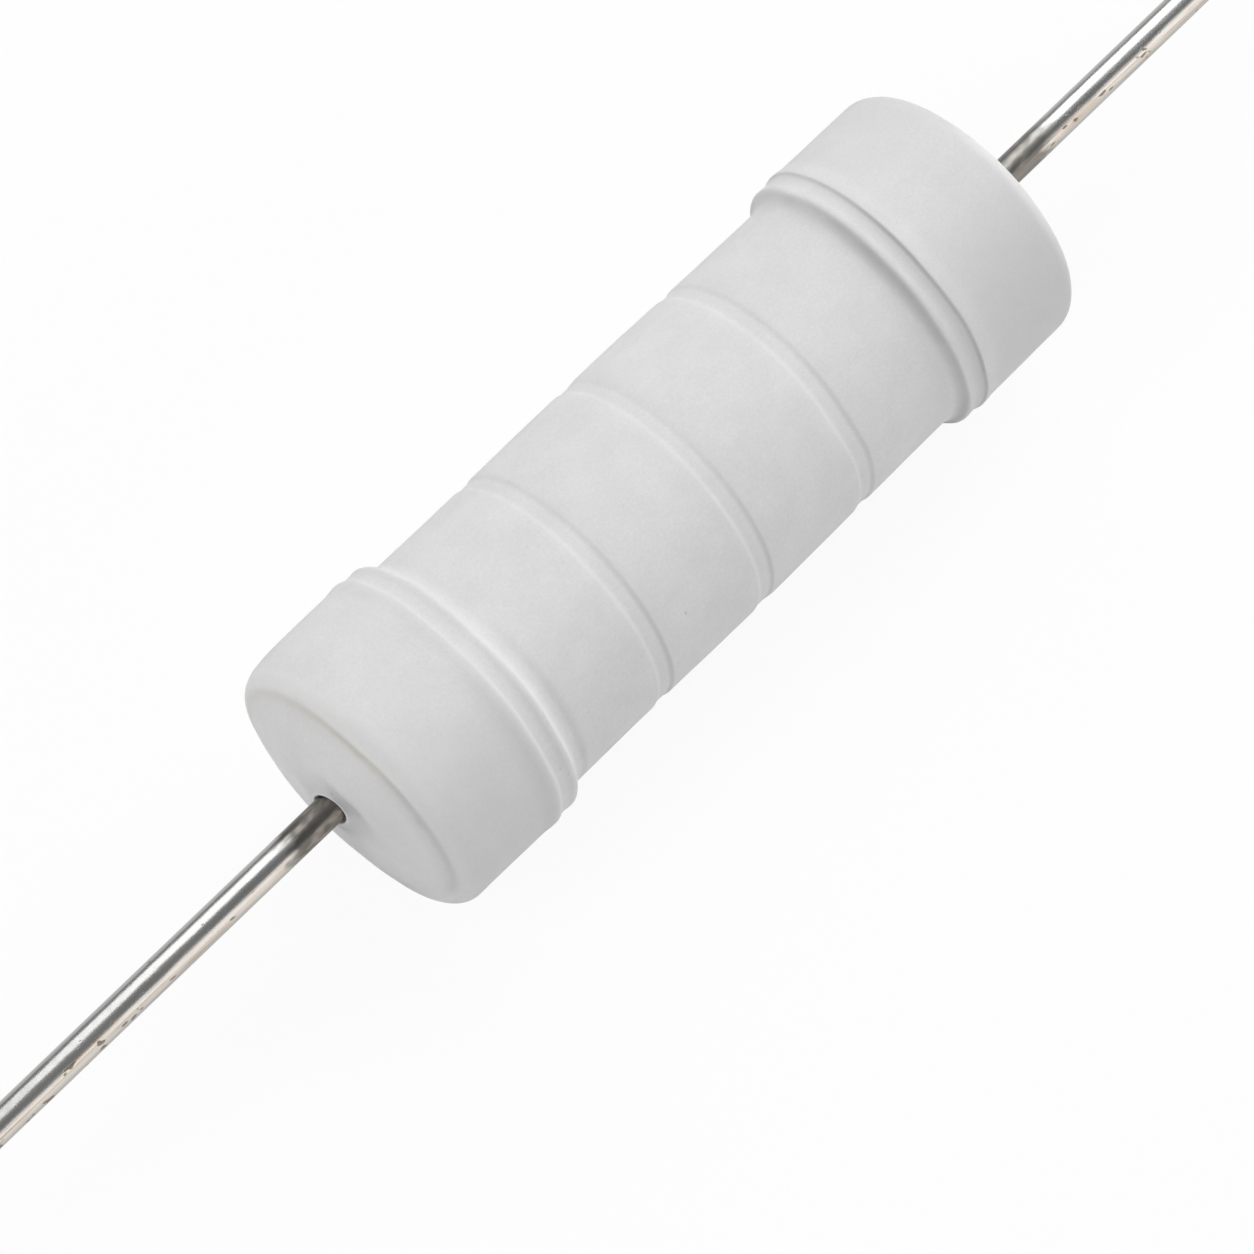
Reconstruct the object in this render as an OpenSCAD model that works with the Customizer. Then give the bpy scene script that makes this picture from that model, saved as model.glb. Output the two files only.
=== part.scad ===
// Cement-coated wirewound power resistor with axial leads, 2 W size.
// Millimetres. X runs along the leads, Z is up, and the origin is the middle of the part.

/* [Core] */
// Diameter of the ceramic rod
core_d = 3.9; // [3:0.05:6]
// Length of the ceramic rod
core_l = 14; // [12:0.1:20]

/* [End caps] */
// Sheet thickness of the pressed caps
cap_wall = 0.3; // [0.2:0.01:0.5]
// Length of a cap over its skirt and its face
cap_l = 2.1; // [1.5:0.05:2.6]
// Radius of the corner between a cap's skirt and its face
cap_round = 0.25; // [0.05:0.01:0.4]

/* [Winding] */
// Diameter of the resistance wire
wire_d = 0.2; // [0.1:0.01:0.25]
// Number of turns between the wire's two ends
wire_turns = 11; // [6:0.5:16]
// Distance along X over which the wire climbs from the rod to a cap's skirt
wire_climb = 0.33; // [0.2:0.01:0.6]
// Distance along X that the wire goes on over a cap's skirt
wire_lap = 0.3; // [0.1:0.01:0.6]
// Gap between the wire and the surfaces inside and outside it
wire_gap = 0.03; // [0.02:0.005:0.06]

/* [Leads] */
// Diameter of the tinned lead wire
lead_d = 0.55; // [0.3:0.01:1]
// Free length of each lead outside the coating
lead_l = 25; // [5:0.5:60]
// Width of the edge break at a lead's cut end
lead_edge = 0.05; // [0.01:0.01:0.1]
// How far each lead is welded off the middle of its cap
lead_offset = 0.08; // [0:0.01:0.12]
// Diameter of the weld at the foot of a lead
weld_d = 0.9; // [0.6:0.05:1.4]
// Depth of the weld's tip under the end of the coating
weld_cover = 0.1; // [0.05:0.01:0.18]

/* [Coating] */
// Thickness of the coating over the winding
coat_body = 0.21; // [0.15:0.01:0.28]
// Thickness of the coating over the wire's laps on the caps
coat_lap = 0.16; // [0.1:0.005:0.3]
// Thickness of the coating over a cap's face, at the middle
coat_end = 0.625; // [0.5:0.005:1]
// Radius of the domed end faces
dome_r = 8; // [4:0.1:20]
// Radius of the shoulder between an end face and the side
shoulder_r = 0.4; // [0.2:0.01:0.8]
// Gap between a lead and the coating, where they are closest
hole_gap = 0.02; // [0.01:0.005:0.1]

/* [Rings on the coating] */
// How far the rings sit off the middle of the coating, along X
ring_shift = -0.1; // [-0.2:0.01:0.2]
// Width of the bead beside each cap, from its foot to the seam
bead_w = 0.75; // [0.6:0.01:0.9]
// How far the bead's crest lies below the coating on the caps
bead_drop = 0.03; // [0:0.005:0.05]
// Radius of the hollow curve at a bead's foot
foot_round = 0.45; // [0.3:0.01:0.6]
// Radius of the edge at a bead's crest
crest_round = 0.08; // [0.05:0.01:0.15]
// Width of the seam between a bead and the coating on the cap
seam_w = 0.08; // [0.04:0.01:0.12]
// Depth of that seam under the bead's crest
seam_depth = 0.045; // [0.02:0.005:0.06]
// Radius of the coating's edge at the seam
rim_round = 0.06; // [0.02:0.01:0.06]
// Number of shallow grooves round the body
groove_count = 3; // [0:1:3]
// Distance between two grooves
groove_pitch = 2.45; // [1:0.05:3]
// Width of a groove at the surface
groove_w = 0.31; // [0.2:0.01:0.6]
// Width of each sloping side of a groove
groove_side = 0.07; // [0.03:0.01:0.09]
// Depth of a groove
groove_depth = 0.04; // [0.01:0.005:0.08]

/* [Hidden] */
$fn = 96;
arc_steps = 12;
cut = 1;
left = -1;
right = 1;

// Distances along X from the middle, the same on both sides
cap_face = core_l / 2 + cap_wall;
cap_edge = cap_face - cap_l;
coat_face = cap_face + coat_end;
lead_end = coat_face + lead_l;
weld_tip = coat_face - weld_cover;

// Radii, built up from the rod outwards
core_r = core_d / 2;
cap_r = core_r + cap_wall;
wire_space = wire_d + 2 * wire_gap;
bore_r = core_r + wire_space;
lap_r = cap_r + wire_space;
body_r = bore_r + coat_body;
coat_r = lap_r + coat_lap;
bead_r = coat_r - bead_drop;
lead_r = lead_d / 2;
weld_r = weld_d / 2;
hole_play = lead_offset + hole_gap;

// Where the wire starts to climb, reaches the skirt and ends
climb_end = cap_edge - wire_d / 2 - wire_gap;
climb_start = climb_end - wire_climb;
wire_end = cap_edge + wire_lap;
wire_sides = 6;
rings_per_turn = 30;
wire_rings = ceil(wire_turns * rings_per_turn);

// The shoulder's circle touches both the dome and the side
shoulder_c = coat_r - shoulder_r;
dome_c = coat_face - dome_r;
shoulder_x = dome_c + sqrt(pow(dome_r - shoulder_r, 2) - pow(shoulder_c, 2));
shoulder_angle = atan2(shoulder_x - dome_c, shoulder_c);

// The bead's flank is a hollow arc and a rounded edge that meet with the same slope
bead_h = bead_r - body_r;
flank_angle = acos(1 - bead_h / (foot_round + crest_round));
flank_w = (foot_round + crest_round) * sin(flank_angle);

// Height of the wire's middle over the axis, at a distance along X
function climbed(x) = min(1, max(0, (abs(x) - climb_start) / wire_climb));
function wire_r(x) = core_r + wire_space / 2 + cap_wall * climbed(x);

// Corners of the wire's section after a number of turns
function wire_section(turn) =
    let (x = wire_end * (2 * turn / wire_turns - 1), angle = 360 * turn)
    [for (i = [0 : wire_sides - 1])
        let (a = 360 * i / wire_sides, r = wire_r(x) + wire_d / 2 * cos(a))
        [x + wire_d / 2 * sin(a), r * cos(angle), r * sin(angle)]];

// Points along an arc, in a profile
function arc(centre, r, from, to) =
    [for (i = [0 : arc_steps])
        let (a = from + (to - from) * i / arc_steps)
        centre + r * [cos(a), sin(a)]];

// Outside of the coating on the right, from the bead's foot to the axis, with its rings moved by shift
function side_outline(shift) =
    let (seam = cap_edge + shift, foot = seam - bead_w, crest = foot + flank_w, rim = seam + seam_w)
    concat(
        arc([body_r + foot_round, foot], foot_round, 180, 180 - flank_angle),
        arc([bead_r - crest_round, crest], crest_round, -flank_angle, 0),
        [[bead_r, seam], [bead_r - seam_depth, seam], [bead_r - seam_depth, rim]],
        arc([coat_r - rim_round, rim + rim_round], rim_round, -90, 0),
        arc([shoulder_c, shoulder_x], shoulder_r, 0, shoulder_angle),
        arc([0, dome_c], dome_r, shoulder_angle, 90)
    );

// The same points on the other side, in the opposite order
function mirrored(points) =
    [for (i = [len(points) - 1 : -1 : 0]) [points[i].x, -points[i].y]];

// Solid of revolution about X: a profile's x is the radius, and its y is the distance along X
module turned() {
    rotate([0, 90, 0]) rotate_extrude() children();
}

// The right side as drawn, or its mirror image on the left
module on_side(side) {
    if (side == left) mirror([1, 0, 0]) children();
    else children();
}

// A profile for the right side, and the same one mirrored for the left side
module both_sides() {
    children();
    mirror([0, 1]) children();
}

// Rectangle from the axis out to a radius, between two distances along X
module band(r, from, to) {
    translate([0, from]) square([r, to - from]);
}

// Outline of a cap as if it were solid
module cap_outline() {
    band(cap_r, cap_edge, cap_face - cap_round);
    band(cap_r - cap_round, cap_edge, cap_face);
    translate([cap_r - cap_round, cap_face - cap_round]) circle(cap_round);
}

// Outline of a lead and its weld, with room around them
module lead_outline(room) {
    polygon([
        [0, cap_face], [weld_r + room, cap_face], [lead_r + room, weld_tip],
        [lead_r + room, lead_end - lead_edge], [lead_r + room - lead_edge, lead_end], [0, lead_end]
    ]);
}

// The space that the rod, the winding, the caps and the leads fill in the coating
module coated_parts() {
    both_sides() {
        band(bore_r, 0, cap_edge);
        polygon([
            [0, climb_start - wire_d / 2], [bore_r, climb_start - wire_d / 2],
            [lap_r, climb_end - wire_d / 2], [lap_r, wire_end + wire_d / 2 + wire_gap],
            [0, wire_end + wire_d / 2 + wire_gap]
        ]);
        cap_outline();
        lead_outline(hole_play);
    }
}

// Section of one shallow groove in the body's surface
module groove() {
    polygon([
        [body_r - groove_depth, groove_side - groove_w / 2], [body_r, -groove_w / 2],
        [body_r + groove_depth, -groove_w / 2], [body_r + groove_depth, groove_w / 2],
        [body_r, groove_w / 2], [body_r - groove_depth, groove_w / 2 - groove_side]
    ]);
}

// One cap, open towards the middle of the part
module end_cap(side) {
    color("silver") on_side(side) turned() difference() {
        cap_outline();
        band(core_r, cap_edge - cut, core_l / 2);
    }
}

// One straight lead with its weld
module lead(side) {
    color("gainsboro") translate([0, -side * lead_offset, 0]) on_side(side) turned()
        lead_outline(0);
}

module cement_coating() {
    color("whitesmoke") turned() difference() {
        polygon(concat(side_outline(ring_shift), mirrored(side_outline(-ring_shift))));
        coated_parts();
        for (i = [0 : 1 : groove_count - 1])
            translate([0, ring_shift + (i - (groove_count - 1) / 2) * groove_pitch]) groove();
    }
}

module ceramic_core() {
    color("ivory") turned() band(core_r, -core_l / 2, core_l / 2);
}

module resistance_wire() {
    sections = [for (i = [0 : wire_rings]) wire_section(wire_turns * i / wire_rings)];
    sides = [for (i = [0 : wire_rings - 1], j = [0 : wire_sides - 1])
        let (k = (j + 1) % wire_sides, a = i * wire_sides, b = a + wire_sides)
        [a + j, a + k, b + k, b + j]];
    start = [for (j = [wire_sides - 1 : -1 : 0]) j];
    end = [for (j = [0 : wire_sides - 1]) wire_rings * wire_sides + j];
    color("darkgoldenrod")
        polyhedron([for (s = sections, p = s) p], concat(sides, [start, end]));
}

module left_end_cap() {
    end_cap(left);
}

module right_end_cap() {
    end_cap(right);
}

module left_lead() {
    lead(left);
}

module right_lead() {
    lead(right);
}

cement_coating();
ceramic_core();
resistance_wire();
left_end_cap();
right_end_cap();
left_lead();
right_lead();
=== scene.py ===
import math
from types import SimpleNamespace

import bpy
from mathutils import Matrix, Vector


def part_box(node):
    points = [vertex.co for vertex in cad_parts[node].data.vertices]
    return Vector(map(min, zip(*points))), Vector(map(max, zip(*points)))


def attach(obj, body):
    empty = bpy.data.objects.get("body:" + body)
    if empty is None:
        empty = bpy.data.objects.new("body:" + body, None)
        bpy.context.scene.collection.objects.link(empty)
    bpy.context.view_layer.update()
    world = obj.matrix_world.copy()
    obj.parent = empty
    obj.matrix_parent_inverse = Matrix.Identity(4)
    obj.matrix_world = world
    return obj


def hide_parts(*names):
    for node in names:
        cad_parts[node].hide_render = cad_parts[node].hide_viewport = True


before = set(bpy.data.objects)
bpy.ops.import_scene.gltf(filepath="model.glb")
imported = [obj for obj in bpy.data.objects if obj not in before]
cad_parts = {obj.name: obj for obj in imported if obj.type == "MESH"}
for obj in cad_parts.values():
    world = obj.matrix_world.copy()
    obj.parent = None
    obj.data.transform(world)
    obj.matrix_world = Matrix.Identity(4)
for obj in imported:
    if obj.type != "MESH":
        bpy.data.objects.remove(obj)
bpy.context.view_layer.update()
mm = 0.001

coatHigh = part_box("cement_coating")[1]
capLow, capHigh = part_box("right_end_cap")
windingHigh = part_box("resistance_wire")[1]
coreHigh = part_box("ceramic_core")[1]
print("frame loaded, coating radius", round(coatHigh.z / mm, 3), "mm")

# directions across the part, as y and z
upperLeft = (0.95, 0.31)  # to its upper left edge, as the camera sees it
upward = (-0.31, 0.95)  # to the camera


def toward(direction, y, z):
    # how far a place lies in a direction across the part
    return y * direction[0] + z * direction[1]


class Flow:
    # a socket of a shader tree that can be used in sums

    def __init__(self, tree, socket=None):
        self.tree = tree
        self.socket = socket

    def node(self, kind, settings=None, sockets=None, output=0):
        made = self.tree.nodes.new(kind)
        for key, value in (settings or {}).items():
            setattr(made, key, value)
        for key, value in (sockets or {}).items():
            if isinstance(value, Flow):
                self.tree.links.new(value.socket, made.inputs[key])
            else:
                made.inputs[key].default_value = value
        return Flow(self.tree, made.outputs[output] if made.outputs else None)

    def math(self, operation, first, second=0.0):
        return self.node("ShaderNodeMath", {"operation": operation}, {0: first, 1: second})

    def __add__(self, other):
        return self.math("ADD", self, other)

    def __radd__(self, other):
        return self.math("ADD", other, self)

    def __sub__(self, other):
        return self.math("SUBTRACT", self, other)

    def __rsub__(self, other):
        return self.math("SUBTRACT", other, self)

    def __mul__(self, other):
        return self.math("MULTIPLY", self, other)

    def __rmul__(self, other):
        return self.math("MULTIPLY", other, self)

    def __truediv__(self, other):
        return self.math("DIVIDE", self, other)

    def __pow__(self, other):
        return self.math("POWER", self, other)

    def __abs__(self):
        return self.math("ABSOLUTE", self)


def fade(value, start, end):
    # 0 at start, 1 at end, eased between
    low, high = (start, end) if start < end else (end, start)
    rising = value.node(
        "ShaderNodeMapRange",
        {"interpolation_type": "SMOOTHSTEP"},
        {"Value": value, "From Min": low, "From Max": high},
    )
    return rising if start < end else 1 - rising


def waver(noise, reach):
    # noise turned into a push either way
    return (noise - 0.5) * reach


def clouds(place, size, detail, roughness):
    # noise whose lumps are about one size across
    return place.node(
        "ShaderNodeTexNoise",
        {},
        {"Vector": place, "Scale": 1 / size, "Detail": detail, "Roughness": roughness},
    )


def stretched(place, along, across):
    # place squeezed, so that a pattern of size 1 gets one size along the part and another across it
    scale = (1 / along, 1 / across, 1 / across)
    return place.node("ShaderNodeMapping", {}, {"Vector": place, "Scale": scale})


def blendColours(amount, first, second):
    return amount.node("ShaderNodeMix", {"data_type": "RGBA"}, {0: amount, 6: first, 7: second}, output=2)


def bumped(place, strength, distance, height):
    return place.node("ShaderNodeBump", {}, {"Strength": strength, "Distance": distance, "Height": height})


def grey(level):
    return (level, level, level, 1.0)


def emptyTree(owner):
    # the cleared shader tree of a finish or a world
    owner.use_nodes = True
    owner.node_tree.nodes.clear()
    return Flow(owner.node_tree)


def newFinish(name):
    finish = bpy.data.materials.new(name)
    place = emptyTree(finish).node("ShaderNodeTexCoord", output="Object")
    return finish, place


def closeFinish(place, sockets):
    shader = place.node("ShaderNodeBsdfPrincipled", {}, sockets)
    place.node("ShaderNodeOutputMaterial", {}, {"Surface": shader})


def splitPlace(place):
    parts = place.node("ShaderNodeSeparateXYZ", {}, {"Vector": place})
    node = parts.socket.node
    x, y, z = [Flow(place.tree, node.outputs[i]) for i in range(3)]
    return x, y, z


cementSet = {
    "colour": 0.745,
    # size of the lumps, detail, roughness, and how far the colour goes either way
    "noise": {
        "broad": (2.6 * mm, 3.0, 0.55, 0.09),
        "patch": (0.6 * mm, 3.0, 0.6, 0.125),
        "grain": (0.06 * mm, 2.0, 0.6, 0.12),
        "fine": (0.024 * mm, 1.0, 0.6, 0.13),
    },
    "stain": (0.52, 0.485, 0.41, 1.0),
    # dark grey: dirt and specks, and painted shade in the bead corners, grooves and creases
    "sootAndShade": (0.40, 0.40, 0.41, 1.0),
    # grey that the ends turn
    "endGrey": (0.62, 0.62, 0.62, 1.0),
    "paleAndHighlight": (0.84, 0.84, 0.835, 1.0),  # paler colour: painted highlights at the seams and grooves, painted light on the end faces' edges, and the rims of the holes
    "roughness": 0.86,
    "roughPatch": 0.1,
    "gloss": 0.25,
    "bump": (0.5, 0.006 * mm),  # strength and height
    "bumpGrain": 0.6,
    "bumpFine": 0.3,
    # where a side begins and is full, across the part from 1 at its upper left edge to -1
    "front": (0.3, -0.5),
    "low": (0.45, -0.95),
    "ends": (7.2, 7.4),  # distance from the middle, in mm, where the end faces begin
    # ends greyer than the middle: distances along the body in mm, places across it, and strengths
    "endsGreyer": {
        "bothFrom": (5.0, 5.7),
        "bothAll": 0.04,
        "bothFront": 0.38,
        "rightBackFrom": (5.2, 5.6),
        "rightBackAcross": (0.3, 0.8),
        "rightBack": 0.2,
        "rightFrontFrom": (5.5, 6.5),
        "rightFront": 0.12,
    },
    # lines of painted shade and painted highlight round the body: distance in mm from a seam or from a
    # groove's edge, reach on both sides, and strength
    "rings": {
        # painted shade in the right bead's foot and at its seam
        "rightCorners": ((-0.44, 0.22, 0.07, 0.6), (-0.01, 0.07, 0.05, 0.42), (0.0, 0.22, 0.05, 0.16)),
        # painted shade on the right bead's crest
        "rightCrest": ((-0.1, 0.34, 0.12, 0.2),),
        "crestAcross": (0.6, 0.0),
        # painted shade round the left bead, on the side towards the camera
        "leftCorners": ((-0.22, 0.35, 0.18, 0.17), (0.25, 0.14, 0.1, 0.14), (0.78, 0.12, 0.16, 0.2)),
        # painted highlights along the left bead's seam and on its flank
        "leftHighlights": ((-0.02, 0.08, 0.08, 1.0), (0.42, 0.07, 0.09, 1.0)),
        "highlightAll": 0.15,
        "highlightLow": 0.5,
        # painted shade along each groove's right edge, and painted highlight along its left edge
        "grooveShade": (0.38, 0.34, 0.27),  # strength in each groove
        "grooveShadeReach": (0.10, 0.06),
        "grooveHighlight": ((0.0, 0.07, 0.08, 0.4),),
        "cornersAll": 0.55,
        "cornersPatch": 0.9,
        "cornersFront": 0.6,
        "cornersAcross": (0.95, 0.1),
        # painted shade on the upper left of the right end's edge
        "farEdgeFrom": (7.2, 7.45),
        "farEdgeAcross": (0.2, 0.6),
        "farEdge": 0.2,
    },
    # crease of each end face, with its brown dirt and painted shade, and the painted light on the edge
    # outside it: reaches from it, places across the part, and strengths
    "crease": {
        "edgeFrom": (0.02 * mm, 0.14 * mm),
        "edgeAcross": (-0.75, -0.2),
        "edgeRightFrom": (-1.0, 1.0),
        "edgeRightAcross": (0.1, 0.45),
        "edge": 0.45,
        "waver": 0.16 * mm,
        "line": (0.17 * mm, 0.42),
        "shade": (0.42 * mm, 0.14),
        "shadeInward": (0.08 * mm, -0.04 * mm),
        "frontShade": (0.36 * mm, 0.22),
        "frontLine": 0.55,
        "brownAcross": (-0.35, 0.05),
        "brownWaver": 0.6,
        "least": 0.2,
        "patchy": 1.3,
        "upFrom": (-0.5, 0.05),
        "backAcross": (0.6, 1.0),
        "backLess": 0.6,
    },
    # dark smudge over each lead, partly dirt and partly painted shadow, and the paler rim of its hole
    "smudgeAndShadow": {
        "reach": (1.0 * mm, 0.36 * mm),
        "waver": 0.4 * mm,
        "all": 0.12,
        "front": 0.63,
        "frontAcross": (0.85, 0.15),
        "lowLess": 0.65,
        "lowAcross": (-0.25, -0.85),
        "rimReach": (0.05 * mm, 0.02 * mm),
        "rim": 0.4,
    },
    "specks": {
        "apart": 1.3 * mm,
        "size": (0.035, 0.015),  # share of the distance between two
        "only": (0.5, 0.55),  # where the broad noise is this high
        "strength": 0.5,
    },
}


def cementPlaces(place):
    # what the layers of the cement's finish depend on
    s = cementSet
    x, y, z = splitPlace(place)
    radius = (y * y + z * z) ** 0.5
    across = toward(upperLeft, y, z) / radius
    # distance along the body, in mm, before its rings were made uneven
    along = place.node("ShaderNodeAttribute", {"attribute_name": "along"}, output="Fac")
    noise = {name: clouds(place, *look[:3]) for name, look in s["noise"].items()}
    return SimpleNamespace(
        x=x, y=y, z=z, radius=radius, across=across, along=along, **noise,
        front=fade(across, *s["front"]), low=fade(across, *s["low"]), ends=fade(abs(along), *s["ends"]),
    )


def plainCement(place, at):
    shade = 1.0
    for name, look in cementSet["noise"].items():
        shade = shade + waver(vars(at)[name], look[3])
    level = shade * cementSet["colour"]
    return place.node("ShaderNodeCombineColor", {}, {0: level, 1: level, 2: level})


def greyerEnds(at, colour):
    # both ends are greyer than the middle, most on the side towards the camera, and the right end also at
    # its upper left
    s = cementSet["endsGreyer"]
    endsGreyer = fade(abs(at.along), *s["bothFrom"]) * (at.front * s["bothFront"] + s["bothAll"])
    back = fade(at.along, *s["rightBackFrom"]) * fade(at.across, *s["rightBackAcross"]) * s["rightBack"]
    front = fade(at.along, *s["rightFrontFrom"]) * at.front * s["rightFront"]
    return blendColours(endsGreyer + back + front, colour, cementSet["endGrey"])


def ringLine(along, middle, before, after):
    # 1 in the middle of a band round the body, 0 at its two edges
    return fade(along, middle - before, middle) * fade(along, middle + after, middle)


def ringLines(along, origin, lines):
    total = 0.0
    for offset, before, after, strength in lines:
        total = total + ringLine(along, origin + offset, before, after) * strength
    return total


def shadedRings(at, colour):
    # painted shade darkens the foot, seam and crest of each bead and the right end's upper left edge, and
    # each groove gets painted shade along its right edge and a painted highlight along its left one; the
    # left bead's seam and flank get painted highlights
    s = cementSet["rings"]
    half = coatSet["grooveHalf"]
    seamRight = coatSet["seamX"] + coatSet["ringShift"]
    seamLeft = -coatSet["seamX"] + coatSet["ringShift"]
    turned = s["cornersAll"] + waver(at.patch, s["cornersPatch"])
    turned = turned + s["cornersFront"] * fade(at.across, *s["cornersAcross"])
    paintedShade = ringLines(at.along, seamRight, s["rightCorners"]) * turned
    paintedShade = paintedShade + ringLines(at.along, seamRight, s["rightCrest"]) * fade(at.across, *s["crestAcross"])
    paintedShade = paintedShade + ringLines(at.along, seamLeft, s["leftCorners"]) * at.front
    paintedShade = paintedShade + fade(at.along, *s["farEdgeFrom"]) * fade(at.across, *s["farEdgeAcross"]) * s["farEdge"]
    paintedHighlight = ringLines(at.along, seamLeft, s["leftHighlights"]) * (s["highlightAll"] + s["highlightLow"] * at.low)
    for middle, strength in zip(coatSet["grooves"], s["grooveShade"]):
        paintedShade = paintedShade + ringLine(at.along, middle + half, *s["grooveShadeReach"]) * at.low * strength
        paintedHighlight = paintedHighlight + ringLines(at.along, middle - half, s["grooveHighlight"]) * at.low
    colour = blendColours(paintedHighlight, colour, cementSet["paleAndHighlight"])
    return blendColours(paintedShade, colour, cementSet["sootAndShade"])


def stainedAndShadedFaces(at, colour):
    # the edge of each end face gets painted light, and its crease holds a line of brown dirt with painted
    # shade round it, both grey towards the front
    s = cementSet["crease"]
    creaseR = coatSet["creaseR"] * mm
    outward = at.radius - creaseR
    # painted light on the edge of each end face outside its crease, but not at the upper left of the right
    # end
    noEdgeLight = fade(at.along, *s["edgeRightFrom"]) * fade(at.across, *s["edgeRightAcross"])
    edge = fade(outward, *s["edgeFrom"]) * at.ends * fade(at.across, *s["edgeAcross"]) * (1 - noEdgeLight)
    colour = blendColours(edge * s["edge"], colour, cementSet["paleAndHighlight"])

    # a line of brown dirt in the crease with painted shade round it, both grey towards the front
    fromCrease = abs(outward + waver(at.patch, s["waver"]))
    lineReach, lineStrength = s["line"]
    shadeReach, shadeStrength = s["shade"]
    frontReach, frontStrength = s["frontShade"]
    brown = fade(at.across + waver(at.broad, s["brownWaver"]), *s["brownAcross"])
    line = fade(fromCrease, lineReach, 0.0) * lineStrength
    line = line + fade(fromCrease, shadeReach, 0.0) * fade(outward, *s["shadeInward"]) * shadeStrength
    line = line * (s["frontLine"] + (1 - s["frontLine"]) * brown)
    line = line + fade(fromCrease, frontReach, 0.0) * (1 - brown) * frontStrength
    line = line * at.ends * (s["least"] + s["patchy"] * at.patch) * fade(at.z / at.radius, *s["upFrom"])
    line = line * (1 - s["backLess"] * fade(at.across, *s["backAcross"]))
    return blendColours(line, colour, blendColours(brown, cementSet["sootAndShade"], cementSet["stain"]))


def smudgedAndShadowedHoles(at, colour):
    # dark smudge over each lead, partly dirt and partly painted shadow, and a paler rim round its hole
    s = cementSet["smudgeAndShadow"]
    # painted shadow and dirt round each lead
    smudgeAndShadow = fade(at.radius + waver(at.patch, s["waver"]), *s["reach"]) * at.ends
    lowPart = 1 - s["lowLess"] * fade(at.across, *s["lowAcross"])
    smudgeAndShadow = smudgeAndShadow * (s["all"] + s["front"] * fade(at.across, *s["frontAcross"]) * lowPart)
    colour = blendColours(smudgeAndShadow, colour, cementSet["sootAndShade"])
    holeY = at.y + at.x.math("SIGN", at.x) * (coatSet["holeShift"] * mm)
    fromLip = (holeY * holeY + at.z * at.z) ** 0.5 - (coatSet["holeR"] + coatSet["holeLip"]) * mm
    rim = fade(fromLip, *s["rimReach"]) * at.ends
    return blendColours(rim * s["rim"], colour, cementSet["paleAndHighlight"])


def darkSpecks(place, at, colour):
    s = cementSet["specks"]
    spot = place.node("ShaderNodeTexVoronoi", {}, {"Vector": place, "Scale": 1 / s["apart"]})
    speck = fade(spot, *s["size"]) * fade(at.broad, *s["only"]) * s["strength"]
    return blendColours(speck, colour, cementSet["sootAndShade"])


def cementFinish():
    s = cementSet
    finish, place = newFinish("cement")
    at = cementPlaces(place)
    colour = plainCement(place, at)
    colour = greyerEnds(at, colour)
    colour = shadedRings(at, colour)
    colour = stainedAndShadedFaces(at, colour)
    colour = smudgedAndShadowedHoles(at, colour)
    colour = darkSpecks(place, at, colour)
    height = at.grain * s["bumpGrain"] + at.fine * s["bumpFine"] + at.patch
    closeFinish(place, {
        "Base Color": colour,
        "Roughness": s["roughness"] + waver(at.patch, s["roughPatch"]),
        "Specular IOR Level": s["gloss"],
        "Normal": bumped(place, *s["bump"], height),
    })
    return finish


tinSet = {
    "tin": (0.69, 0.69, 0.682, 1.0),
    "creamReflection": (0.72, 0.665, 0.605, 1.0),  # painted reflection of cream surroundings, on one side
    "bare": (0.52, 0.42, 0.33, 1.0),  # worn through
    "darkReflection": (0.37, 0.37, 0.365, 1.0),  # painted reflection of dark surroundings, on the underside, the upper left edge, the lower edge and the middle of the right lead
    "burnt": (0.13, 0.122, 0.105, 1.0),  # beside the coating
    "singed": (0.30, 0.275, 0.24, 1.0),  # patches in it
    "pit": (0.21, 0.165, 0.125, 1.0),
    "scratch": (0.36, 0.31, 0.26, 1.0),
    # length of the marks, width, detail and roughness
    "noise": {
        "lines": (1.8 * mm, 0.022 * mm, 2.0, 0.6),
        "streaks": (1.3 * mm, 0.11 * mm, 1.0, 0.5),
        "waves": (0.8 * mm, 0.20 * mm, 1.0, 0.5),
        "blots": (0.30 * mm, 0.13 * mm, 1.0, 0.5),
        "ripple": (1.3 * mm, 0.15 * mm, 0.0, 0.5),
    },
    "rightFrom": (-1 * mm, 1 * mm),
    # the sides of the wire as y and z, where each finish begins and is full, and how strong it is
    "creamSide": (-0.966, 0.259),
    "creamFrom": (0.70, 0.86),
    "creamWaver": 0.35,
    "bareStreaks": 0.6,
    "bareFrom": (0.54, 0.66),
    "bareStrength": 0.55,
    "darkReflectionSide": (0.55, -0.84),
    "darkReflectionFrom": (-0.555, -0.375),
    "darkReflectionWaver": 0.2,
    "darkReflectionStrength": 0.85,
    "lowDarkFrom": (0.70, 1.0),
    "lowDark": 0.9,
    "rightDarkAt": -0.06,
    "rightDarkFrom": (0.36, 0.1),
    "rightDark": 0.4,
    "scratchFrom": (0.54, 0.68),
    "scratchStrength": 0.75,
    "pitFrom": (0.705, 0.745),
    "pitCream": 0.05,
    "pitStrength": 0.75,
    "burntLength": 1.1 * mm,
    "farBurnt": 0.55 * mm,  # and further on the right
    "burntFrom": (0.25 * mm, -0.3 * mm),
    "burntBlots": 0.7 * mm,
    "burntStreaks": 0.8 * mm,
    "burntStrength": 0.9,
    "farBurntLess": 0.15,
    "singedFrom": (0.48, 0.64),
    "roughness": 0.23,
    "roughStreaks": 0.08,
    "roughBurnt": 0.12,
    "roughPit": 0.25,
    "roughCream": 0.05,
    "bump": (0.5, 0.010 * mm),  # strength and height
    "bumpRipple": 0.5,
    "bumpBlots": 0.4,
    "bumpPit": 0.4,
}


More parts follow.
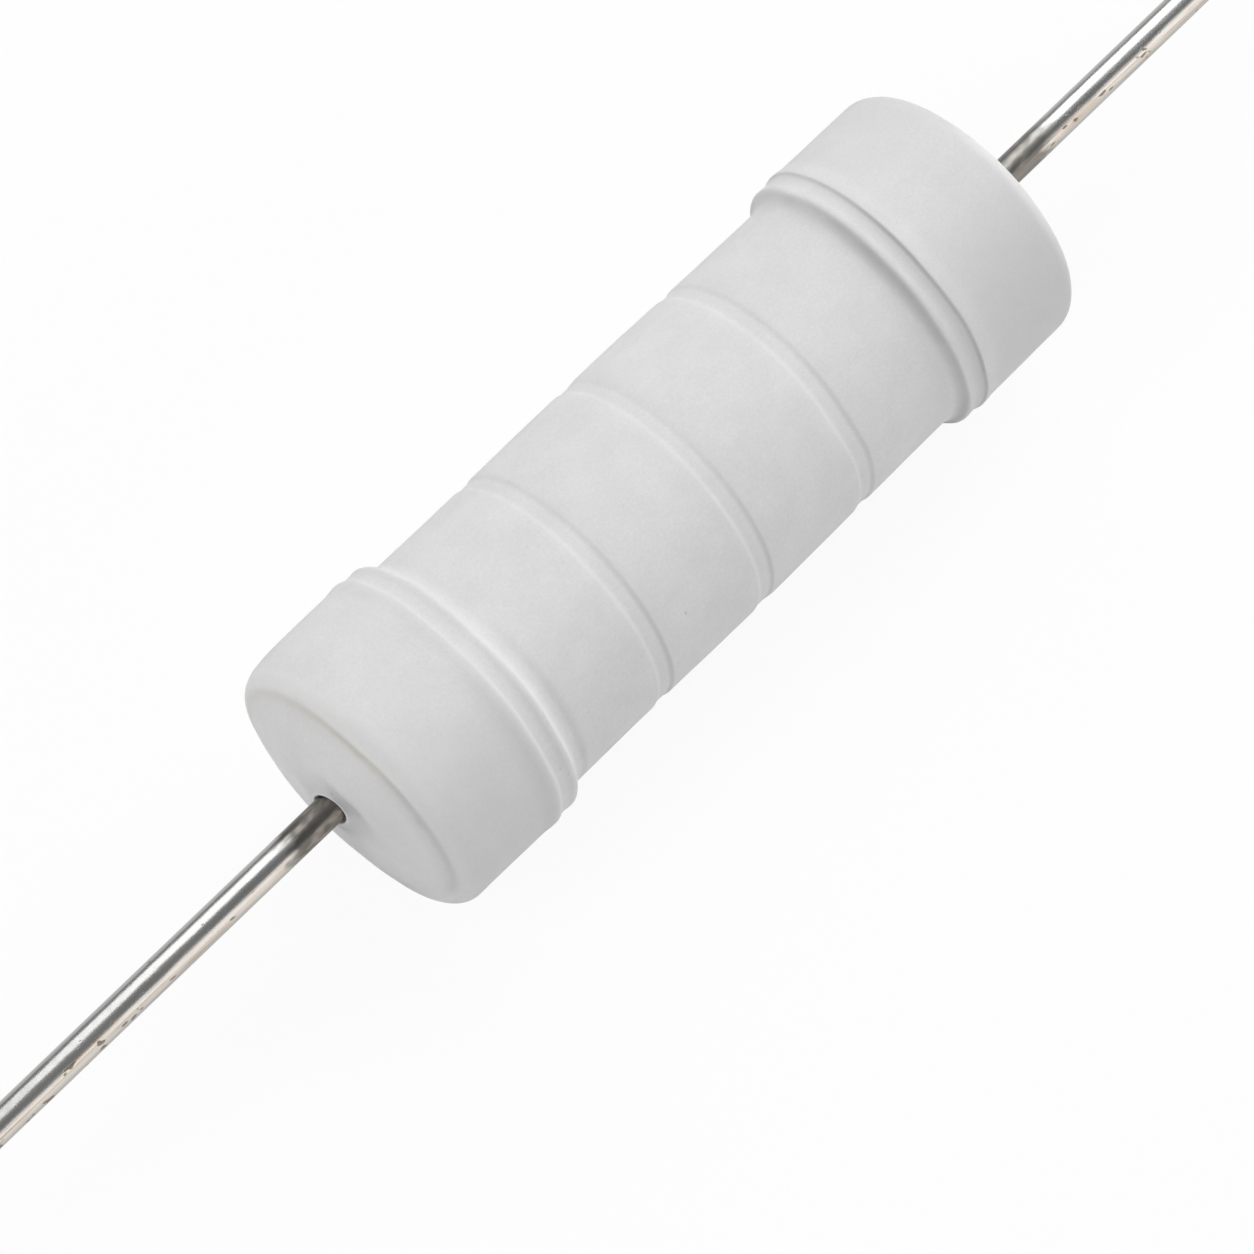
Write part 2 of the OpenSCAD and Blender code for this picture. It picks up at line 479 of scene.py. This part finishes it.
def tinnedPlaces(place):
    # what the layers of the leads' finish depend on
    s = tinSet
    x, y, z = splitPlace(place)
    boxLow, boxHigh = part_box("right_lead")
    offAxis = y - x.math("SIGN", x) * ((boxLow.y + boxHigh.y) / 2)
    wireR = leadSet["wireR"]
    noise = {
        name: clouds(stretched(place, along, across), 1.0, detail, rough)
        for name, (along, across, detail, rough) in s["noise"].items()
    }
    return SimpleNamespace(
        x=x, onRight=fade(x, *s["rightFrom"]), **noise,
        # the side with the painted cream reflection
        creamSide=toward(s["creamSide"], offAxis, z) / wireR,
        # the side with the painted dark reflection
        darkReflectionSide=toward(s["darkReflectionSide"], offAxis, z) / wireR,
        low=toward(upperLeft, offAxis, z) / -wireR,
    )


def wornTinAndReflections(at, creamReflection):
    # painted cream reflection on one side, worn through in places there, and painted dark reflection on the
    # underside, the middle and the edges
    s = tinSet
    colour = blendColours(creamReflection, s["tin"], s["creamReflection"])
    bare = fade(at.streaks * s["bareStreaks"] + at.waves * (1 - s["bareStreaks"]), *s["bareFrom"])
    colour = blendColours(bare * creamReflection * s["bareStrength"], colour, s["bare"])
    # painted dark reflection on the underside and upper left edge, at the lower edge, and in the middle of
    # the right lead
    darkReflection = fade(at.darkReflectionSide + waver(at.streaks, s["darkReflectionWaver"]), *s["darkReflectionFrom"]) * s["darkReflectionStrength"]
    darkReflection = darkReflection + fade(at.low, *s["lowDarkFrom"]) * s["lowDark"]
    darkReflection = darkReflection + at.onRight * fade(abs(at.low - s["rightDarkAt"]), *s["rightDarkFrom"]) * s["rightDark"]
    colour = blendColours(darkReflection, colour, s["darkReflection"])
    scratch = fade(at.lines, *s["scratchFrom"])
    return blendColours(scratch * creamReflection * s["scratchStrength"], colour, s["scratch"])


def burntPart(at):
    # 1 beside the coating, with a ragged edge
    s = tinSet
    fromCoat = abs(at.x) - coatHigh.x - at.onRight * s["farBurnt"] - s["burntLength"]
    fromCoat = fromCoat + waver(at.blots, s["burntBlots"]) + waver(at.streaks, s["burntStreaks"])
    return fade(fromCoat, *s["burntFrom"])


def tinnedFinish():
    s = tinSet
    finish, place = newFinish("tinned_wire")
    at = tinnedPlaces(place)
    # the side with the painted cream reflection, where the wear marks also lie
    creamReflection = fade(at.creamSide + waver(at.streaks, s["creamWaver"]), *s["creamFrom"])
    pit = fade(at.blots + creamReflection * s["pitCream"], *s["pitFrom"])
    burnt = burntPart(at)
    singed = fade(at.blots * 0.5 + at.waves * 0.5, *s["singedFrom"])
    colour = wornTinAndReflections(at, creamReflection)
    colour = blendColours(pit * s["pitStrength"], colour, s["pit"])
    burntStrength = s["burntStrength"] - at.onRight * s["farBurntLess"]
    colour = blendColours(burnt * burntStrength, colour, blendColours(singed, s["burnt"], s["singed"]))
    roughness = s["roughness"] + s["roughStreaks"] * at.streaks + s["roughBurnt"] * burnt
    roughness = roughness + s["roughPit"] * pit + s["roughCream"] * creamReflection
    height = at.waves + at.ripple * s["bumpRipple"] + at.blots * s["bumpBlots"] - pit * s["bumpPit"]
    closeFinish(place, {
        "Base Color": colour,
        "Roughness": roughness,
        "Metallic": 1.0,
        "Normal": bumped(place, *s["bump"], height),
    })
    return finish


# what the coating covers
hiddenSet = {
    "darkest": 0.8,  # share of the colour
    "detail": 3.0,
    "noiseRoughness": 0.6,
    "roughPatch": 0.15,
    "bump": (0.3, 0.01 * mm),  # strength and height
    # nodes, colour, metallic, roughness and size of the lumps
    "finishes": {
        "core_ceramic": (("ceramic_core",), (0.82, 0.79, 0.72), 0.0, 0.6, 0.4 * mm),
        "resistance_alloy": (("resistance_wire",), (0.5, 0.47, 0.43), 1.0, 0.35, 0.1 * mm),
        "cap_steel": (("left_end_cap", "right_end_cap"), (0.62, 0.62, 0.6), 1.0, 0.3, 0.3 * mm),
    },
}


def hiddenFinish(name, colour, metallic, roughness, lump):
    s = hiddenSet
    finish, place = newFinish(name)
    patch = clouds(place, lump, s["detail"], s["noiseRoughness"])
    dark = [part * s["darkest"] for part in colour]
    closeFinish(place, {
        "Base Color": blendColours(patch, (*dark, 1.0), (*colour, 1.0)),
        "Metallic": metallic,
        "Roughness": roughness + waver(patch, s["roughPatch"]),
        "Normal": bumped(place, *s["bump"], patch),
    })
    return finish


def setFinish(piece, finish):
    piece.data.materials.clear()
    piece.data.materials.append(finish)


def deselectAll():
    if bpy.context.mode != "OBJECT":
        bpy.ops.object.mode_set(mode="OBJECT")
    bpy.ops.object.select_all(action="DESELECT")


def startVertex(name, spot):
    # a plane merged to one point, from which an outline is drawn
    deselectAll()
    bpy.ops.mesh.primitive_plane_add(size=1 * mm, location=(0, 0, 0))
    piece = bpy.context.object
    piece.name = name
    piece.data.name = name
    bpy.ops.object.mode_set(mode="EDIT")
    bpy.ops.mesh.select_mode(type="VERT")
    bpy.ops.mesh.select_all(action="SELECT")
    bpy.ops.mesh.merge(type="CENTER")
    bpy.ops.transform.translate(value=spot)
    return piece


def drawOutline(points):
    # extrudes the selected point along the rest of the outline
    for before, after in zip(points, points[1:]):
        step = (after[0] - before[0], 0.0, after[1] - before[1])
        bpy.ops.mesh.extrude_vertices_move(TRANSFORM_OT_translate={"value": step})


def spinAboutX(steps):
    bpy.ops.mesh.select_all(action="SELECT")
    bpy.ops.mesh.spin(steps=steps, angle=2 * math.pi, center=(0, 0, 0), axis=(1, 0, 0))
    bpy.ops.mesh.select_all(action="SELECT")
    bpy.ops.mesh.remove_doubles(threshold=1e-7)
    bpy.ops.mesh.normals_make_consistent(inside=False)


def turnedPiece(name, outline, segments):
    # an outline of distances along X and radii, turned about X, and left in edit mode
    piece = startVertex(name, (outline[0][0], 0.0, outline[0][1]))
    drawOutline(outline)
    spinAboutX(segments)
    return piece


def applyModifiers(piece):
    bpy.context.view_layer.objects.active = piece
    for modifier in list(piece.modifiers):
        bpy.ops.object.modifier_apply(modifier=modifier.name)


def smoothSurface(piece, degrees):
    deselectAll()
    piece.select_set(True)
    bpy.context.view_layer.objects.active = piece
    bpy.ops.object.shade_smooth_by_angle(angle=math.radians(degrees))


def addShift(piece, name, direction, strength, group, texture=None):
    # moves the points of a group by their weight times half the strength, or by a texture either way
    modifier = piece.modifiers.new(name, "DISPLACE")
    modifier.direction = direction
    modifier.mid_level = 0.5
    modifier.strength = strength
    modifier.vertex_group = group
    if texture:
        modifier.texture = texture
        modifier.texture_coords = "LOCAL"


def unevenTexture(name, size):
    texture = bpy.data.textures.new(name, "CLOUDS")
    texture.noise_scale = size
    texture.noise_depth = 1
    return texture


def ease(t):
    t = min(max(t, 0.0), 1.0)
    return t * t * (3 - 2 * t)


def rise(value, start, end):
    # 0 at start, 1 at end, eased between
    return ease((value - start) / (end - start))


coatSet = {
    "bodyR": 2.42,  # mm, as are the rest
    "swell": 0.02,  # the middle is slightly fuller
    "grooves": (-2.585, -0.145, 2.315),
    "grooveHalf": 0.16,
    "grooveSoft": 0.13,
    "grooveDepth": 0.03,
    "seamX": 5.20,
    "ringShift": -0.13,  # both seams lie a little to the left
    "hollow": 3.2,  # how sharply a hollow turns up at its end
    # from a bead's foot to the cap's lip: distance from the seam, radius, and how the wall gets there
    "rings": (
        (-0.80, 2.41, "ease"),
        (-0.40, 2.600, "hollow"),
        (-0.34, 2.622, "round"),
        (-0.22, 2.608, "ease"),
        (-0.015, 2.635, "hollow"),
        (0.05, 2.658, "round"),
        (0.34, 2.634, "ease"),
    ),
    "shoulder": (7.23, 2.625),  # where it begins, and the radius there
    "shoulderR": 0.36,
    "domeR": 8.0,
    "creaseR": 2.28,  # ring on each end face
    "creaseDepth": 0.026,
    "creaseIn": 0.26,  # its slope is long towards the lead and short towards the shoulder
    "creaseOut": 0.09,
    "holeR": 0.312,
    "holeLip": 0.025,
    "collar": 0.02,  # raised rim of the hole
    "collarW": 0.04,
    "holeShift": 0.072,  # the holes follow the leads
    "dish": 0.135,  # the face sinks round each hole, on one side of the lead
    "dishLift": 0.05,  # and rises on the other
    "dishSide": (0.745, 0.67),  # the side that sinks, as y and z, and y changes its sign on the left
    "dishR": 0.95,
    "dishW": 0.52,
    "tilt": 0.07,  # how much further right the rings lie at the upper left edge
    "frontLean": 0.34,  # and those of the right end on the underside
    "leftTilt": 0.10,  # and the left end face at the lower right edge
    "rightTilt": 0.03,  # and the right end face there
    "worn": 0.06,  # taken off the left shoulder along the upper left edge
    "wornAt": (7.35, 2.55),  # distance from the middle, and radius
    "wornReach": (0.3, 0.25),
    # bumps all over the wall, and waves along the part in the beads: size, height, direction and where
    "unevenness": {
        "lumps": (2.2, 0.022, "NORMAL", "wall"),
        "ripples": (0.6, 0.007, "NORMAL", "wall"),
        "waves": (1.1, 0.05, "X", "beads"),
    },
    # rings of points: in a side of a groove, in a steep or flat stretch of a bead, and on the end
    "grooveSteps": 8,
    "steepSteps": 8,
    "flatSteps": 4,
    "steepRise": 0.03,
    "shortestStep": 0.008,
    "longestStep": 0.16,
    "shoulderSteps": 16,
    "faceSteps": ((1.9, 16), (0.8, 12)),  # down to a radius, and how many
    "rimSteps": 16,
    "lipSteps": 6,
    "segments": 224,
    "smoothBelow": 50,  # degrees between two faces that are shaded as one
    # where each uneven form begins and is full: radii, distances from the middle or along the part,
    # and places across it from 1 at the upper left edge to -1
    "reach": {
        "wallRadius": (0.5, 1.1),
        "holeRadius": (1.0, 0.5),
        "beadsIn": (4.3, 4.6),
        "beadsOut": (5.9, 5.6),
        "leanOut": (6.6, 5.8),
        "frontIn": (3.2, 4.4),
        "frontOut": (6.9, 5.8),
        "endIn": (6.4, 7.3),
        "endRadius": (0.35, 0.65),
        "turnAcross": (-0.5, -0.85),  # the right groove turns back at the front
        "turnIn": (1.2, 2.0),
        "turnOut": (3.6, 2.8),
        "wornAcross": (0.2, 0.8),
    },
    # inside of the coating
    "bore": {
        "gap": 0.03,  # round the winding and the weld
        "neckR": 0.286,  # the hole is narrowest over the tip of the weld
        "neckStep": 0.01,
        "throatX": 0.48,  # over the cap
        "throatR": 0.30,
        "capRound": 0.25,
        "climbFrom": 0.15,  # distances from the cap, between which the winding climbs to it
        "climbTo": 0.5,
    },
}


def ringsOf(side):
    s = coatSet
    seam = s["seamX"] + s["ringShift"] * side
    rings = [(seam + x, r, way) for x, r, way in s["rings"]]
    return rings + [(*s["shoulder"], "ease")]


def wayAlong(t, way):
    if way == "hollow":
        return t ** coatSet["hollow"]
    if way == "round":
        return 1 - (1 - t) * (1 - t)
    return ease(t)


def wallRadius(x, rings):
    # radius of the coating at a distance from the middle, on the side that x is on
    s = coatSet
    along = abs(x)
    footX, footR = rings[0][:2]
    if along <= footX:
        blend = ease(along / footX)
        radius = s["bodyR"] + s["swell"] * (1 - blend) + (footR - s["bodyR"]) * blend
        for middle in s["grooves"]:
            inside = ease((s["grooveHalf"] + s["grooveSoft"] / 2 - abs(x - middle)) / s["grooveSoft"])
            radius -= s["grooveDepth"] * inside
        return radius
    for (x0, r0, _), (x1, r1, way) in zip(rings, rings[1:]):
        if along <= x1:
            return r0 + (r1 - r0) * wayAlong((along - x0) / (x1 - x0), way)
    return rings[-1][1]


def wallStations(side, rings):
    # distances along the axis at which the wall gets a ring, close together where it curves
    s = coatSet
    marks = [0.0]
    reach = s["grooveHalf"] + s["grooveSoft"] / 2
    steps = s["grooveSteps"]
    for middle in s["grooves"]:
        if middle * side >= 0:
            marks += [abs(middle) + reach * (k / steps) for k in range(-steps, steps + 1)]
    for (x0, r0, _), (x1, r1, _) in zip(rings, rings[1:]):
        count = s["steepSteps"] if abs(r1 - r0) > s["steepRise"] else s["flatSteps"]
        marks += [x0 + (x1 - x0) * k / count for k in range(count)]
    marks.append(rings[-1][0])
    marks = sorted(mark for mark in marks if mark >= 0)
    filled = [marks[0]]
    for mark in marks[1:]:
        gap = mark - filled[-1]
        if gap < s["shortestStep"]:
            continue
        parts = max(1, round(gap / s["longestStep"]))
        start = filled[-1]
        filled += [start + gap * k / parts for k in range(1, parts + 1)]
    return filled


def dished(radius):
    # 0 on the plain end face, 1 at the hole
    return ease((coatSet["dishR"] - radius) / coatSet["dishW"])


def faceDepth(radius):
    # how far the end face lies below its plain dome
    s = coatSet
    width = s["creaseIn"] if radius < s["creaseR"] else s["creaseOut"]
    crease = s["creaseDepth"] * math.exp(-((radius - s["creaseR"]) / width) ** 2)
    rim = s["holeR"] + s["holeLip"]
    collar = s["collar"] * math.exp(-((radius - rim) / s["collarW"]) ** 2)
    return crease - collar - s["dishLift"] * dished(radius)


def sideOutline(side, rings, face):
    # from the middle of the body to the rim of the lead's hole, as distance and radius
    s = coatSet
    points = [(x, wallRadius(x * side, rings)) for x in wallStations(side, rings)]
    shoulderX, topR = rings[-1][:2]
    domeC = face - s["domeR"]
    # the shoulder meets the dome where both have the same direction
    centreR = topR - s["shoulderR"]
    angle = math.acos(centreR / (s["domeR"] - s["shoulderR"]))
    domeX = domeC + (s["domeR"] - s["shoulderR"]) * math.sin(angle)
    bow = domeX - shoulderX
    for k in range(1, s["shoulderSteps"] + 1):
        share = k / s["shoulderSteps"]
        x = shoulderX + bow * share + s["shoulderR"] * math.sin(angle * share)
        radius = centreR + s["shoulderR"] * math.cos(angle * share)
        points.append((x - faceDepth(radius), radius))
    start = s["domeR"] * math.cos(angle)
    lipR = s["holeR"] + s["holeLip"]
    for stop, count in (*s["faceSteps"], (lipR, s["rimSteps"])):
        for k in range(1, count + 1):
            radius = start + (stop - start) * k / count
            x = domeC + math.sqrt(s["domeR"] ** 2 - radius ** 2)
            points.append((x - faceDepth(radius), radius))
        start = stop
    lipX = points[-1][0] - s["holeLip"]
    for k in range(1, s["lipSteps"] + 1):
        turn = math.pi / 2 * k / s["lipSteps"]
        points.append((lipX + s["holeLip"] * math.cos(turn), lipR - s["holeLip"] * math.sin(turn)))
    return points


def coatWeights(spot):
    # how much a point of the coating takes part in each uneven form
    s = coatSet
    reach = s["reach"]
    x = spot.x / mm
    along = abs(x)
    length = math.hypot(spot.y, spot.z)
    radius = length / mm
    across = toward(upperLeft, spot.y, spot.z) / length
    facing = toward(upward, spot.y, spot.z) / length
    dishY, dishZ = s["dishSide"]
    tipped = toward((math.copysign(dishY, x), dishZ), spot.y, spot.z) / length
    turn = rise(across, *reach["turnAcross"]) * rise(x, *reach["turnIn"]) * rise(x, *reach["turnOut"])
    endLean = (0.5 - 0.5 * across) * rise(along, *reach["endIn"]) * rise(radius, *reach["endRadius"])
    end = "left" if x < 0 else "right"
    weights = {
        "wall": rise(radius, *reach["wallRadius"]),  # all over, but not round the holes
        "beads": rise(along, *reach["beadsIn"]) * rise(along, *reach["beadsOut"]),
        "lean": min(1.0, (0.5 + 0.5 * across) * rise(along, *reach["leanOut"]) + turn),
        "frontLean": (0.5 - 0.5 * facing) * rise(x, *reach["frontIn"]) * rise(x, *reach["frontOut"]),
        end + "Lean": endLean,
        end + "Hole": rise(radius, *reach["holeRadius"]),
        end + "Dish": dished(radius) * (0.5 + 0.5 * tipped),
    }
    if end == "left":
        wornX, wornR = s["wornAt"]
        reachX, reachR = s["wornReach"]
        shoulder = math.exp(-((along - wornX) / reachX) ** 2 - ((radius - wornR) / reachR) ** 2)
        weights["worn"] = shoulder * rise(across, *reach["wornAcross"])
    return weights


def makeCoating():
    s = coatSet
    face = coatHigh.x / mm
    left = [(-x, r) for x, r in reversed(sideOutline(-1, ringsOf(-1), face + s["leftTilt"] / 2))]
    right = sideOutline(1, ringsOf(1), face - s["rightTilt"] / 2)
    outline = [(x * mm, r * mm) for x, r in left + right[1:]]
    piece = turnedPiece("coating", outline, s["segments"])
    bpy.ops.object.mode_set(mode="OBJECT")

    # how far each group of points moves, in mm
    shifts = {
        "lean": ("X", s["tilt"]),
        "frontLean": ("X", s["frontLean"]),
        "leftLean": ("X", s["leftTilt"]),
        "rightLean": ("X", s["rightTilt"]),
        "worn": ("NORMAL", -s["worn"]),
        "leftHole": ("Y", s["holeShift"]),
        "rightHole": ("Y", -s["holeShift"]),
        "leftDish": ("X", s["dish"]),
        "rightDish": ("X", -s["dish"]),
    }
    groups = {name: piece.vertex_groups.new(name=name) for name in ("wall", "beads", *shifts)}
    for vertex in piece.data.vertices:
        for name, weight in coatWeights(vertex.co).items():
            if weight > 0:
                groups[name].add([vertex.index], weight, "REPLACE")
    along = piece.data.attributes.new("along", "FLOAT", "POINT")
    along.data.foreach_set("value", [vertex.co.x / mm for vertex in piece.data.vertices])
    for name, (size, height, direction, group) in s["unevenness"].items():
        addShift(piece, name, direction, height * mm, group, unevenTexture(name, size * mm))
    for name, (direction, distance) in shifts.items():
        addShift(piece, name, direction, 2 * distance * mm, name)
    applyModifiers(piece)
    boreCoating(piece)
    return piece


def selectOpenEdges():
    bpy.ops.mesh.select_non_manifold(
        extend=False, use_wire=False, use_boundary=True, use_multi_face=False,
        use_non_contiguous=False, use_verts=False,
    )


def boreSteps():
    # from a hole's rim inwards: distance along the part, radius, and how far off the axis on the lead's side
    s = {name: size * mm for name, size in coatSet["bore"].items()}
    gap = s["gap"]
    shift = coatSet["holeShift"] * mm
    weldTip = capHigh.x + leadSet["weldLength"]
    boreR = coreHigh.z + (windingHigh.z - capHigh.z) + 2 * gap
    return [
        (weldTip + s["neckStep"], coatSet["holeR"] * mm, shift),
        (weldTip, s["neckR"], shift),
        (capHigh.x + s["throatX"], s["throatR"], shift),
        (capHigh.x, leadSet["weldR"] + gap, shift),
        (capHigh.x, capHigh.z - s["capRound"], 0),
        (capHigh.x - s["capRound"], capHigh.z, 0),
        (windingHigh.x + gap, capHigh.z, 0),
        (windingHigh.x + gap, windingHigh.z + gap, 0),
        (capLow.x - s["climbFrom"], windingHigh.z + gap, 0),
        (capLow.x - s["climbTo"], boreR, 0),
    ]


def boreCoating(piece):
    # each hole goes on inwards round the weld, the cap and the winding, and the two bores are joined
    bpy.ops.object.mode_set(mode="EDIT")
    for side in (-1, 1):
        bpy.ops.mesh.select_all(action="DESELECT")
        selectOpenEdges()
        bpy.ops.object.mode_set(mode="OBJECT")
        for edge in piece.data.edges:
            if edge.select and piece.data.vertices[edge.vertices[0]].co.x * side < 0:
                edge.select = False
        for vertex in piece.data.vertices:
            if vertex.select and vertex.co.x * side < 0:
                vertex.select = False
        rim = [vertex.co for vertex in piece.data.vertices if vertex.select]
        x = sum(co.x for co in rim) / len(rim) * side
        middleY = sum(co.y for co in rim) / len(rim)
        radius = sum(math.hypot(co.y - middleY, co.z) for co in rim) / len(rim)
        bpy.ops.object.mode_set(mode="EDIT")
        for newX, newR, newY in boreSteps():
            step = ((newX - x) * side, newY * -side - middleY, 0)
            bpy.ops.mesh.extrude_region_move(TRANSFORM_OT_translate={"value": step})
            scale = newR / radius
            middleY = newY * -side
            bpy.ops.transform.resize(value=(1, scale, scale), center_override=(0, middleY, 0))
            x = newX
            radius = newR
    selectOpenEdges()
    bpy.ops.mesh.bridge_edge_loops()
    bpy.ops.object.mode_set(mode="OBJECT")


leadSet = {
    "wireR": 0.275 * mm,
    "weldR": 0.45 * mm,
    "weldLength": 0.525 * mm,
    "edge": 0.05 * mm,
    "segments": 56,
    "step": 0.4 * mm,
    "smoothBelow": 30,  # the cut end keeps its edges
}


def makeLead(side, node):
    # a wire with its weld cone, from the cap's face to its cut end
    s = leadSet
    low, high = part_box(node)
    near = capHigh.x
    far = max(abs(low.x), abs(high.x))
    first = near + s["weldLength"]
    last = far - s["edge"]
    wireR = s["wireR"]
    count = round((last - first) / s["step"])
    outline = [(near, 0.0), (near, s["weldR"]), (first, wireR)]
    outline += [(first + (last - first) * k / count, wireR) for k in range(1, count + 1)]
    outline += [(far, wireR - s["edge"]), (far, 0.0)]
    piece = turnedPiece(node + "_wire", [(x * side, r) for x, r in outline], s["segments"])
    bpy.ops.transform.translate(value=(0, (low.y + high.y) / 2, 0))
    bpy.ops.object.mode_set(mode="OBJECT")
    return piece


coating = makeCoating()
print("coating", len(coating.data.polygons), "faces")
leads = {
    "left_lead": makeLead(-1, "left_lead"),
    "right_lead": makeLead(1, "right_lead"),
}
print("leads made")

cement = cementFinish()
tinned = tinnedFinish()
setFinish(coating, cement)
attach(coating, "root")
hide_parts("cement_coating")
smoothSurface(coating, coatSet["smoothBelow"])
for node, piece in leads.items():
    setFinish(piece, tinned)
    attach(piece, "root")
    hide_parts(node)
    smoothSurface(piece, leadSet["smoothBelow"])
for name, (nodes, *look) in hiddenSet["finishes"].items():
    finish = hiddenFinish(name, *look)
    for node in nodes:
        setFinish(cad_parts[node], finish)
print("finishes set")

stageSet = {
    "floorColour": grey(0.9),
    "floorGlow": 0.92,  # share of plain white that the camera sees on the floor
    "floorSize": 4.0,
    "skyTop": 0.17,  # brightness of the room overhead
    "skyLow": 0.53,  # and at the horizon
    "skyFrom": 0.04,
    "skyTo": 0.20,
    "lampDistance": 0.26,
    # softboxes: where each stands, its width along the part, its height, and its power
    "lamps": {
        "back": ((0.40, 0.5125, 0.76), 0.155, 0.25, 0.234),
        "frontLow": ((0.36, -0.90, 0.28), 0.24, 0.14, 0.126),
        "rightEnd": ((0.88, 0.08, 0.47), 0.20, 0.20, 0.37),
        "leftEnd": ((-0.75, 0.0, 0.66), 0.25, 0.25, 0.312),
        "leftTop": ((-0.45, 0.15, 0.88), 0.22, 0.22, 0.055),
    },
}


def makeFloor():
    s = stageSet
    deselectAll()
    bpy.ops.mesh.primitive_plane_add(size=s["floorSize"], location=(0, 0, -coatHigh.z))
    floor = bpy.context.object
    floor.name = "floor"
    finish = bpy.data.materials.new("floor")
    start = emptyTree(finish)
    paths = start.node("ShaderNodeLightPath").socket.node
    camera, glossy, through = [
        Flow(finish.node_tree, paths.outputs[name])
        for name in ("Is Camera Ray", "Is Glossy Ray", "Is Transmission Ray")
    ]
    seen = camera.math("MINIMUM", camera + glossy + through, 1.0) * s["floorGlow"]
    lit = start.node("ShaderNodeBsdfDiffuse", {}, {"Color": s["floorColour"]})
    white = start.node("ShaderNodeEmission", {}, {"Color": grey(1.0), "Strength": 1.0})
    mixed = start.node("ShaderNodeMixShader", {}, {0: seen, 1: lit, 2: white})
    start.node("ShaderNodeOutputMaterial", {}, {"Surface": mixed})
    setFinish(floor, finish)


def makeLamp(name, stand, width, height, power):
    lamp = bpy.data.lights.new(name, "AREA")
    lamp.shape = "RECTANGLE"
    lamp.size = width
    lamp.size_y = height
    lamp.energy = power
    holder = bpy.data.objects.new(name, lamp)
    bpy.context.scene.collection.objects.link(holder)
    away = Vector(stand).normalized()
    up = away.cross(Vector((1, 0, 0))).normalized()
    along = up.cross(away)
    holder.location = away * stageSet["lampDistance"]
    holder.rotation_euler = Matrix((along, up, away)).transposed().to_euler()


def makeSky():
    s = stageSet
    world = bpy.data.worlds.new("studio")
    bpy.context.scene.world = world
    start = emptyTree(world)
    height = splitPlace(start.node("ShaderNodeTexCoord", output="Generated"))[2]
    level = s["skyTop"] + fade(height, s["skyTo"], s["skyFrom"]) * (s["skyLow"] - s["skyTop"])
    sky = start.node("ShaderNodeBackground", {}, {"Color": grey(1.0), "Strength": level})
    start.node("ShaderNodeOutputWorld", {}, {"Surface": sky})


cameraSet = {
    "aim": (-2.248 * mm, -1.22 * mm, 0.005 * mm),
    "azimuth": -47.05,  # degrees, from looking along +Y
    "elevation": 64.26,
    "distance": 84.62 * mm,
    "lens": 146.7,
    "sensor": 36.0,
    "clip": (0.001, 20.0),
}


def makeCamera():
    s = cameraSet
    azimuth = math.radians(s["azimuth"])
    elevation = math.radians(s["elevation"])
    away = Vector((
        math.sin(azimuth) * math.cos(elevation),
        -math.cos(azimuth) * math.cos(elevation),
        math.sin(elevation),
    ))
    eye = bpy.data.cameras.new("camera")
    eye.lens = s["lens"]
    eye.sensor_width = s["sensor"]
    eye.clip_start, eye.clip_end = s["clip"]
    holder = bpy.data.objects.new("camera", eye)
    bpy.context.scene.collection.objects.link(holder)
    holder.location = Vector(s["aim"]) + away * s["distance"]
    holder.rotation_euler = away.to_track_quat("Z", "Y").to_euler()
    bpy.context.scene.camera = holder


makeFloor()
makeSky()
for name, (stand, width, height, power) in stageSet["lamps"].items():
    makeLamp(name, stand, width, height, power)
makeCamera()
bpy.context.scene.view_settings.view_transform = "Standard"
print("stage, light and camera set")
